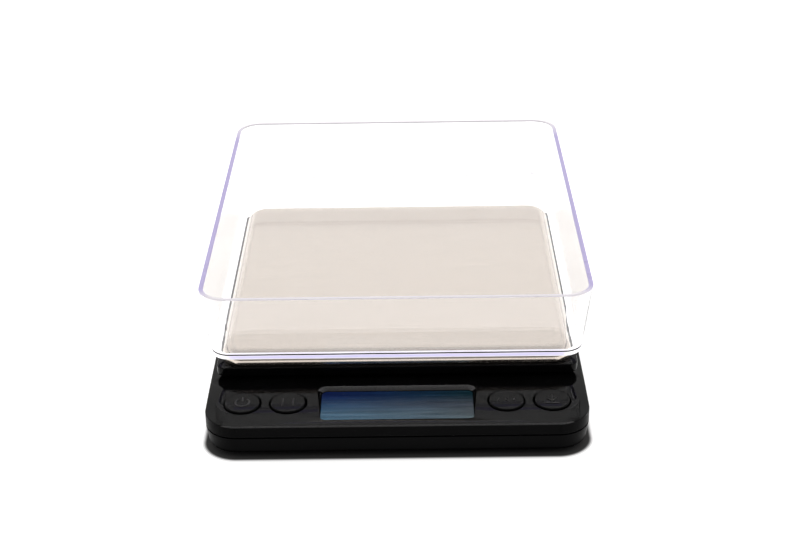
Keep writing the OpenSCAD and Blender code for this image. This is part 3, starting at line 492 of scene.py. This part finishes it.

# %% [markdown]
# The display is switched off. Its polarising film is deep blue at one end and a dull teal at the
# other. Towards the back it is painted darker, a painted shade where the tray and plate shadow it, so
# it pales towards the user. So two colour runs along Y, one for each end, are blended along X, with
# fine streaks that run along X.

# %% Display finish
window_low, window_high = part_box("lcd_window")
film_places = (0.15, 0.5, 0.85)
left_film_and_shade = ((0.10, 0.22, 0.33), (0.025, 0.09, 0.20), (0.010, 0.027, 0.138))
right_film_and_shade = ((0.13, 0.17, 0.185), (0.07, 0.085, 0.11), (0.009, 0.044, 0.060))
film_rough = (0.25, 0.40)
streak_greys = (0.5, 1.0)
streak_weight = 0.8
display_cell, shader = new_material("display_cell")


def display_share(axis):
    """A run from 0 to 1 over the display along one axis."""
    start, end = getattr(window_low, axis), getattr(window_high, axis)
    return span(display_cell, along(display_cell, axis), start, end)


def film_and_shade_run(colours):
    """A run of colours from the front of the display to its back, painted darker at the back as painted
    shade.
    """
    return colour_run(display_cell, display_share("y"), *zip(film_places, colours))


blend = add(display_cell, "ShaderNodeMix", data_type="RGBA")
link(display_cell, display_share("x"), blend.inputs["Factor"])
link(display_cell, film_and_shade_run(left_film_and_shade), blend.inputs["A"])
link(display_cell, film_and_shade_run(right_film_and_shade), blend.inputs["B"])
streaks = noise(display_cell, scale=1.0, detail=3.0, stretch=(40, 900, 1))
streaked = add(display_cell, "ShaderNodeMix", data_type="RGBA", blend_type="MULTIPLY", factor=streak_weight)
link(display_cell, blend.outputs["Result"], streaked.inputs["A"])
link(display_cell, ramp(display_cell, streaks, *streak_greys, start=0.38, end=0.62), streaked.inputs["B"])
link(display_cell, streaked.outputs["Result"], shader.inputs["Base Color"])
link(display_cell, ramp(display_cell, streaks, *film_rough), shader.inputs["Roughness"])
shader.inputs["Specular IOR Level"].default_value = 0.03
print("finish", display_cell.name)

# %% [markdown]
# Pieces are modelled in a bmesh and turned into objects by one function. It merges doubles, turns
# the faces outwards, shades flat what is flat and smooth what is round, hangs the piece on an empty
# for the body it rides on and hides the solid it stands for. The first finish is the piece's main
# one, and faces take another by its number.

# %% Piece helper
merge_distance = 0.0005 * MM
sharp_angle = math.radians(35)


def make_piece(name, bm, body, finishes, stands_for):
    bmesh.ops.remove_doubles(bm, verts=bm.verts, dist=merge_distance)
    bmesh.ops.recalc_face_normals(bm, faces=bm.faces)
    mesh = bpy.data.meshes.new(name)
    bm.to_mesh(mesh)
    bm.free()
    for material in finishes:
        mesh.materials.append(material)
    mesh.shade_smooth()
    mesh.set_sharp_from_angle(angle=sharp_angle)
    piece = bpy.data.objects.new(name, mesh)
    bpy.context.scene.collection.objects.link(piece)
    even = piece.modifiers.new("even_normals", "WEIGHTED_NORMAL")
    even.keep_sharp = True
    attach(piece, body)
    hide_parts(stands_for)
    print(name, len(mesh.polygons), "faces on", body)
    return piece


print("edges over", round(math.degrees(sharp_angle)), "degrees stay sharp")

# %% [markdown]
# Tray, plate and window are all rounded rectangles that change a little from level to level.
# A ring is a face of four corners whose corners are bevelled round. A stack of rings, bridged one
# to the next, is the skin of the piece. The bridge finds its way by the step from ring to ring and
# ignores steps that are tiny in its units, so the rings are built in millimetres and scaled down at
# the end, and no two neighbours lie at quite the same height.

# %% Rounded rings
corner_steps = 10
hair = 0.01 * MM


def ring(bm, width, depth, radius, centre_y, height):
    """The edges of a level rounded rectangle about X = 0."""
    corners = [
        bm.verts.new((x * width / 2, centre_y + y * depth / 2, height))
        for x, y in ((-1, -1), (1, -1), (1, 1), (-1, 1))
    ]
    bm.faces.new(corners)
    rounded = bmesh.ops.bevel(bm, geom=corners, offset=radius, affect="VERTICES",
                              segments=corner_steps, profile=0.5, material=-1)
    face = rounded["verts"][0].link_faces[0]
    edges = list(face.edges)
    bmesh.ops.delete(bm, geom=[face], context="FACES_ONLY")
    return edges


def stack(bm, core_w, core_d, centre_y, profile):
    """Bridges rings and caps both ends. The profile has pairs of reach beyond the core and height."""
    made = set(bm.verts)
    rings = [ring(bm, (core_w + 2 * r) / MM, (core_d + 2 * r) / MM, r / MM, centre_y / MM, z / MM)
             for r, z in profile]
    for low, high in zip(rings, rings[1:]):
        bmesh.ops.bridge_loops(bm, edges=low + high)
    bmesh.ops.edgeloop_fill(bm, edges=rings[0])
    bmesh.ops.edgeloop_fill(bm, edges=rings[-1])
    bmesh.ops.scale(bm, vec=(MM, MM, MM), verts=[v for v in bm.verts if v not in made])


def arc(centre_r, centre_z, radius, start, end, steps=6):
    """Points of an arc in the profile plane, angles in degrees from the outward direction."""
    turns = [math.radians(start + (end - start) * i / steps) for i in range(steps + 1)]
    return [(centre_r + radius * math.cos(t), centre_z + radius * math.sin(t)) for t in turns]


print("rings of", 4 * (corner_steps + 1), "points")

# %% [markdown]
# The clear tray is one moulding: a flat floor, a small fillet, walls that lean out so that it
# leaves its mould, and a rim with softened edges. The profile goes up the outside, over the rim and
# down the inside. A hair of air stays between tray and plate, so that no two faces fall together.

# %% Clear tray
tray_wall = 1.3 * MM
air_gap = 0.04 * MM
tray_draft = 2.6 * MM
tray_rim_r = 8.0 * MM
tray_fillet = 0.5 * MM
inner_fillet = 0.9 * MM
rim_soft = 0.3 * MM
band_rise = 0.2 * MM
bright_strip = 0.4 * MM
tray_h = tray_high.z - tray_low.z
lean = math.atan(tray_draft / tray_h)
foot_r = tray_rim_r - tray_draft
core_w = tray_high.x - tray_low.x - 2 * tray_rim_r
core_d = tray_high.y - tray_low.y - 2 * tray_rim_r
tray_y = (tray_low.y + tray_high.y) / 2
inner_r = foot_r - tray_wall / math.cos(lean) + tray_wall * math.tan(lean)
inner_floor = tray_low.z + tray_wall
inner_rim = inner_r + (tray_high.z - inner_floor) * math.tan(lean)
band_top = inner_floor + band_rise


def foot_arc(reach, fillet, low):
    """The fillet between a floor at that height and a leaning wall that would start at that reach."""
    centre = reach + fillet * math.tan(lean) - fillet / math.cos(lean)
    return arc(centre, low + fillet, fillet, -90, -math.degrees(lean))


profile = foot_arc(foot_r, tray_fillet, tray_low.z + air_gap)
profile.append((foot_r + tray_wall * math.tan(lean), inner_floor))
profile.append((foot_r + (band_top - tray_low.z) * math.tan(lean), band_top))
profile += arc(tray_rim_r - rim_soft, tray_high.z - rim_soft, rim_soft, 0, 90, steps=4)
profile += arc(inner_rim + rim_soft, tray_high.z - rim_soft - hair, rim_soft, 90, 180, steps=4)
profile += foot_arc(inner_r, inner_fillet, inner_floor)[::-1]
profile.append((profile[-1][0] - bright_strip, inner_floor - hair))
bm = bmesh.new()
stack(bm, core_w, core_d, tray_y, profile)
bmesh.ops.recalc_face_normals(bm, faces=bm.faces)
print("tray wall leans out by", round(math.degrees(lean), 1), "degrees")

# %% [markdown]
# Each face of the tray takes its finish by where it lies. Outside, the foot of the wall takes painted
# light in front, at the sides and round the corners. Inside, the fillet takes it there too, and at the
# sides a narrow strip of the floor with it. The rim takes painted light all round, and the rest stays
# clear.

# %% Edges of the tray
tray_finishes = (clear_styrene, lit_edge, rim_edge, foot_edge)
clear_number, front_number, rim_number, foot_number = range(len(tray_finishes))
wall_limit = 0.9
level_limit = 0.99


def tray_finish(face):
    """The number of the finish that a face of the tray takes."""
    middle = face.calc_center_median()
    faces_out = Vector((middle.x, middle.y - tray_y, 0)).dot(face.normal) > 0
    outside = faces_out and abs(face.normal.z) < wall_limit
    in_front = middle.y < tray_y - core_d / 2
    beside = abs(middle.x) > core_w / 2
    in_fillet = not outside and inner_floor - 2 * hair < middle.z < inner_floor + inner_fillet
    if middle.z > tray_high.z - rim_soft:
        return rim_number
    if in_fillet and (beside or in_front and face.normal.z < level_limit):
        return foot_number
    if outside and middle.z < band_top and (beside or in_front):
        return foot_number if beside else front_number
    return clear_number


for face in bm.faces:
    face.material_index = tray_finish(face)
make_piece("tray_shell", bm, "tray", tray_finishes, "weighing_tray")

# %% [markdown]
# The weighing plate is a thin steel sheet with its edges bent down and a soft bend radius. It is
# made like the tray, upside down: down the inside of the skirt, round the hem and up the outside.

# %% Steel plate
plate_low, plate_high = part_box("weighing_plate")
sheet = 0.5 * MM
plate_r = 6.5 * MM
bend = 3.6 * MM
hem = 0.12 * MM
plate_y = (plate_low.y + plate_high.y) / 2
plate_core = plate_high.x - plate_low.x - 2 * plate_r
under = plate_high.z - sheet
profile = arc(plate_r - bend, under - (bend - sheet), bend - sheet, 90, 0, steps=12)
profile += arc(plate_r - sheet + hem, plate_low.z + hem, hem, 180, 270, steps=3)
profile += arc(plate_r - hem, plate_low.z + hem + hair, hem, 270, 360, steps=3)
profile += arc(plate_r - bend, plate_high.z - bend, bend, 0, 90, steps=16)
bm = bmesh.new()
stack(bm, plate_core, plate_core, plate_y, profile)
make_piece("plate_sheet", bm, "platform", (plate_steel,), "weighing_plate")

# %% [markdown]
# The display window is a flat pane with its upper edge just broken. The film lies right under a thin
# cover, so its colour fills the window's outline: one mesh of two flat blocks, with a finish each.

# %% Display window
window_r = 1.6 * MM
window_edge = 0.12 * MM
cover_t = 0.2 * MM
film_gap = 0.02 * MM
cover_low = window_high.z - cover_t
window_w = window_high.x - window_low.x - 2 * window_r
window_d = window_high.y - window_low.y - 2 * window_r
window_y = (window_low.y + window_high.y) / 2
bm = bmesh.new()
stack(bm, window_w, window_d, window_y, [(window_r, window_low.z), (window_r, cover_low - film_gap)])
film_faces = set(bm.faces)
profile = [(window_r, cover_low)]
profile += arc(window_r - window_edge, window_high.z - window_edge, window_edge, 0, 90, steps=3)
stack(bm, window_w, window_d, window_y, profile)
for face in bm.faces:
    face.material_index = 1 if face in film_faces else 0
make_piece("window_pane", bm, "base", (window_plastic, display_cell), "lcd_window")

# %% [markdown]
# Small raised signs on the buttons are outlines, drawn up by a fraction of a millimetre and rounded
# off, so that a fingertip and a low light find them. Two outlines are enough: a bar with round ends
# and a bow.

# %% Button signs
sign_h = 0.14 * MM
sign_w = 0.55 * MM
soft = 0.08 * MM
end_steps = 8
bow_steps = 24


def bar(x0, y0, x1, y1):
    """Outline of a bar with round ends, in millimetres about the button's middle."""
    heading = math.atan2(y1 - y0, x1 - x0)
    half = sign_w / 2
    outline = []
    for x, y, start in ((x1, y1, heading - math.pi / 2), (x0, y0, heading + math.pi / 2)):
        for i in range(end_steps + 1):
            turn = start + math.pi * i / end_steps
            outline.append((x * MM + half * math.cos(turn), y * MM + half * math.sin(turn)))
    return outline


def bow(radius, start, end):
    """Outline of an arc-shaped band, radius in millimetres and angles in degrees."""
    turns = [math.radians(start + (end - start) * i / bow_steps) for i in range(bow_steps + 1)]
    outer = radius * MM + sign_w / 2
    inner = radius * MM - sign_w / 2
    return ([(outer * math.cos(t), outer * math.sin(t)) for t in turns]
            + [(inner * math.cos(t), inner * math.sin(t)) for t in reversed(turns)])


def raise_sign(bm, outline, x, y, top):
    """Draws an outline up out of the button's top and rounds its upper edge."""
    face = bm.faces.new([bm.verts.new((x + a, y + b, top - sign_h)) for a, b in outline])
    drawn = bmesh.ops.extrude_face_region(bm, geom=[face])["geom"]
    raised = [part for part in drawn if isinstance(part, bmesh.types.BMVert)]
    bmesh.ops.translate(bm, verts=raised, vec=(0, 0, 2 * sign_h))
    lid = next(part for part in drawn if isinstance(part, bmesh.types.BMFace))
    bmesh.ops.bevel(bm, geom=list(lid.edges), offset=soft, affect="EDGES",
                    segments=2, profile=0.5, material=-1)


print("signs stand", round(sign_h / MM, 2), "mm proud")

# %% [markdown]
# The four buttons are turned: a profile of half a button, spun once round its axis. Above the
# flange the whole button leans with the panel, so its points are raised in step with their depth.

# %% Button helper
panel_rise = 1.15 * MM
panel_depth = 22.4 * MM
panel_slope = panel_rise / panel_depth
cap_r = 4.9 * MM
cap_round = 0.35 * MM
flange_r = 5.7 * MM
flange_t = 0.8 * MM
stem_r = 2.0 * MM
stem_l = 0.4 * MM
turn_steps = 72


def make_button(name, node, body, signs):
    low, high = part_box(node)
    x, y = (low.x + high.x) / 2, (low.y + high.y) / 2
    top = high.z - panel_slope * cap_r
    flange_low = low.z + stem_l
    flange_top = flange_low + flange_t + panel_slope * flange_r
    profile = [(0, low.z)] + arc(stem_r - soft, low.z + soft, soft, -90, 0, steps=3)
    profile += [(stem_r, flange_low)] + arc(flange_r - soft, flange_low + soft, soft, -90, 0, steps=3)
    profile += arc(flange_r - soft, flange_top - soft, soft, 0, 90, steps=3) + [(cap_r, flange_top)]
    profile += arc(cap_r - cap_round, top - cap_round, cap_round, 0, 90) + [(0, top)]
    bm = bmesh.new()
    points = [bm.verts.new((x + r, y, z)) for r, z in profile]
    edges = [bm.edges.new(pair) for pair in zip(points, points[1:])]
    bmesh.ops.spin(bm, geom=points + edges, cent=(x, y, 0), axis=(0, 0, 1), angle=2 * math.pi,
                   steps=turn_steps, use_merge=True)
    cap_faces = set(bm.faces)
    for outline in signs:
        raise_sign(bm, outline, x, y, top)
    for face in bm.faces:
        face.material_index = 0 if face in cap_faces else 1
    for vert in bm.verts:
        if vert.co.z > flange_low + 2 * soft:
            vert.co.z += panel_slope * (vert.co.y - y)
    make_piece(name, bm, body, (button_plastic, sign_plastic), node)


print("panel rises", round(math.degrees(math.atan(panel_slope)), 1), "degrees")

# %% [markdown]
# The signs are plain ones: a broken ring with a bar for power, two bars for the mode, three dots
# for counting pieces, and an arrow down to a line for setting the display back to zero.

# %% Buttons
button_signs = {
    "power": [bow(1.9, 125, 415), bar(0, 0.6, 0, 2.3)],
    "mode": [bar(x, -1.7, x, 1.7) for x in (-1.5, 1.5)],
    "count": [bar(x, -0.3, x, 0.3) for x in (-2.2, 0, 2.2)],
    "tare": [
        bar(-1.7, -1.9, 1.7, -1.9),
        bar(0, -0.9, -1.2, 0.3),
        bar(0, -0.9, 1.2, 0.3),
        bar(0, 0.0, 0, 2.0),
    ],
}
for key, signs in button_signs.items():
    make_button(key + "_cap", key + "_button", key + "_key", signs)

# %% [markdown]
# A moulded part has no knife edges. For the shells, the battery door, the support and the feet, a
# copy of the solid is merged into one skin, its sharp outer edges are picked by where they lie, and
# a narrow bevel catches the light along them. The solid itself stays as it is. Where an edge lies is
# told in millimetres, by its height and by how deep it lies inside the solid's box.

# %% Edge softener
skin_distance = 0.001 * MM
least_angle = math.radians(24)


def soften(node, name, body, finishes, width, wanted):
    bm = bmesh.new()
    bm.from_mesh(nodes[node].data)
    bmesh.ops.remove_doubles(bm, verts=bm.verts, dist=skin_distance)
    edges = []
    for edge in bm.edges:
        middle = (edge.verts[0].co + edge.verts[1].co) / 2 / MM
        if edge.is_convex and edge.calc_face_angle(0) > least_angle and wanted(middle):
            edges.append(edge)
    bmesh.ops.bevel(bm, geom=edges, offset=width, affect="EDGES", segments=2, profile=0.5,
                    material=-1, clamp_overlap=True)
    open_edges = sum(len(edge.link_faces) != 2 for edge in bm.edges)
    print(name, len(edges), "edges softened,", open_edges, "open")
    return make_piece(name, bm, body, finishes, node)


def box_mm(node):
    """A solid's lowest and highest corners in millimetres."""
    return [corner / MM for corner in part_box(node)]


def side_depths(point, low, high):
    """How far a point lies inside a box, from its nearer side along X and along Y."""
    return min(point.x - low.x, high.x - point.x), min(point.y - low.y, high.y - point.y)


print("edges over", round(math.degrees(least_angle)), "degrees are softened")

# %% [markdown]
# The upper shell: the rims of the button holes, the edges of the display recess and the lower lip
# along the seam are what a finger feels, so these are the edges to pick.

# %% Upper shell
case_low, case_high = box_mm("upper_case")
pane_low, pane_high = box_mm("lcd_window")
button_spots = [sum(box_mm(key + "_button"), Vector()) / 2 for key in button_signs]
hole_r = 5.3
hole_slack = 0.05
hole_low = 10
recess_reach = 2
recess_low = pane_high.z + 0.1
upper_seam = (6.2, 6.9)
wall_reach = 1.2
shell_soft = 0.12 * MM


def case_depth(point):
    """How far a point lies inside the case's outline, a rectangle with round corners."""
    corner = case_corner / MM
    from_x, from_y = side_depths(point, case_low, case_high)
    if max(from_x, from_y) > corner:
        return min(from_x, from_y)
    return corner - math.hypot(corner - from_x, corner - from_y)


def on_case_wall(point, heights):
    return heights[0] < point.z < heights[1] and case_depth(point) < wall_reach


def upper_edge(point):
    """True on the edges of the upper shell that a finger feels."""
    from_axes = [math.hypot(point.x - spot.x, point.y - spot.y) for spot in button_spots]
    on_hole = point.z > hole_low and any(abs(away - hole_r) < hole_slack for away in from_axes)
    across_pane = abs(point.x) < pane_high.x + recess_reach
    along_pane = pane_low.y < point.y < pane_high.y + recess_reach
    on_recess = across_pane and along_pane and point.z > recess_low
    return on_hole or on_recess or on_case_wall(point, upper_seam)


upper_finishes = (case_plastic, wall_plastic, painted_highlight_plastic)
upper = soften("upper_case", "upper_shell", "base", upper_finishes,
               width=shell_soft, wanted=upper_edge)

# %% [markdown]
# Three plastics share the upper shell. The panel is glossy and the outer walls are duller. Two narrow
# strips are painted a lighter grey, as painted highlights, and are glossier too: the bevel behind the
# display and the panel's front edge.

# %% Finishes of the upper shell
panel_number, wall_number, highlight_number = range(len(upper_finishes))
bevel_front = pane_high.y - 0.5
bevel_back = pane_high.y + 2.5
bevel_low = pane_high.z - 0.2
bevel_forward = -0.15
bevel_upward = 0.3
edge_back = case_low.y + 1
edge_low = 9
edge_tilt = (0.25, 0.97)
wall_skin = 0.3
wall_upright = 0.3


def upper_finish(face):
    """The number of the finish that a face of the upper shell takes."""
    point = face.center / MM
    normal = face.normal
    behind_pane = abs(point.x) < pane_high.x + recess_reach and bevel_front < point.y < bevel_back
    leans_forward = normal.y < bevel_forward and normal.z > bevel_upward
    on_bevel = behind_pane and leans_forward and point.z > bevel_low
    on_front = point.y < edge_back and point.z > edge_low and edge_tilt[0] < normal.z < edge_tilt[1]
    if on_bevel or on_front:
        return highlight_number
    on_wall = case_depth(point) < wall_skin and abs(normal.z) < wall_upright
    return wall_number if on_wall else panel_number


for face in upper.data.polygons:
    face.material_index = upper_finish(face)
highlight_faces = sum(face.material_index == highlight_number for face in upper.data.polygons)
print(highlight_faces, "faces in the two bright strips")

# %% [markdown]
# The lower shell is softened along the seam and on the underside, round the battery opening and
# the screw holes. Door, support and feet are small enough to soften every outer edge that shows.

# %% Lower shell, door, support and feet
underside = shell_low.z / MM
under_slack = 0.05
lower_seam = (5.5, 6.35)
door_rise = 0.5
support_low, support_high = box_mm("plate_support")
support_top = plate_low.z / MM + 0.1
side_reach = 1.25
corner_reach = 3.25


def lower_edge(point):
    return point.z < underside + under_slack or on_case_wall(point, lower_seam)


def door_edge(point):
    return point.z < underside + door_rise


def support_edge(point):
    """True at the sides of the support, and a little deeper at its corners, below the plate."""
    depths = side_depths(point, support_low, support_high)
    at_edge = min(depths) < side_reach or max(depths) < corner_reach
    return point.z < support_top and at_edge


def sole_edge(point):
    return point.z < under_slack


soften("lower_case", "lower_shell", "base", (wall_plastic,),
       width=shell_soft, wanted=lower_edge)
soften("battery_door", "sliding_door", "door", (case_plastic,),
       width=0.1 * MM, wanted=door_edge)
soften("plate_support", "support_frame", "platform", (case_plastic,),
       width=0.25 * MM, wanted=support_edge)
soften("rubber_feet", "soft_feet", "base", (foot_rubber,),
       width=0.3 * MM, wanted=sole_edge)

# %% [markdown]
# Everything else keeps its solid and takes a finish by the record's material slot.

# %% Finishes of the solids
slot_finish = {
    "black_abs": case_plastic,
    "button_abs": button_plastic,
    "black_rubber": foot_rubber,
    "screw_steel": screw_steel,
    "display_cell": display_cell,
    "light_guide": light_guide,
    "contact_rubber": contact_rubber,
    "board_laminate": board_laminate,
    "chip_resin": chip_resin,
    "solder_parts": solder_parts,
    "switch_plastic": switch_plastic,
    "cell_aluminium": cell_aluminium,
    "gauge_film": gauge_film,
    "sealant": sealant,
    "wire_cover": wire_cover,
    "battery_can": battery_can,
    "contact_nickel": contact_nickel,
    "foam_tape": foam_tape,
    "plate_steel": plate_steel,
    "clear_styrene": clear_styrene,
    "display_window": window_plastic,
}
for solid in nodes.values():
    for slot in solid.material_slots:
        slot.material = slot_finish[slot.material.name.split(".")[0]]
print(len(nodes), "solids finished from", len(slot_finish), "slots")
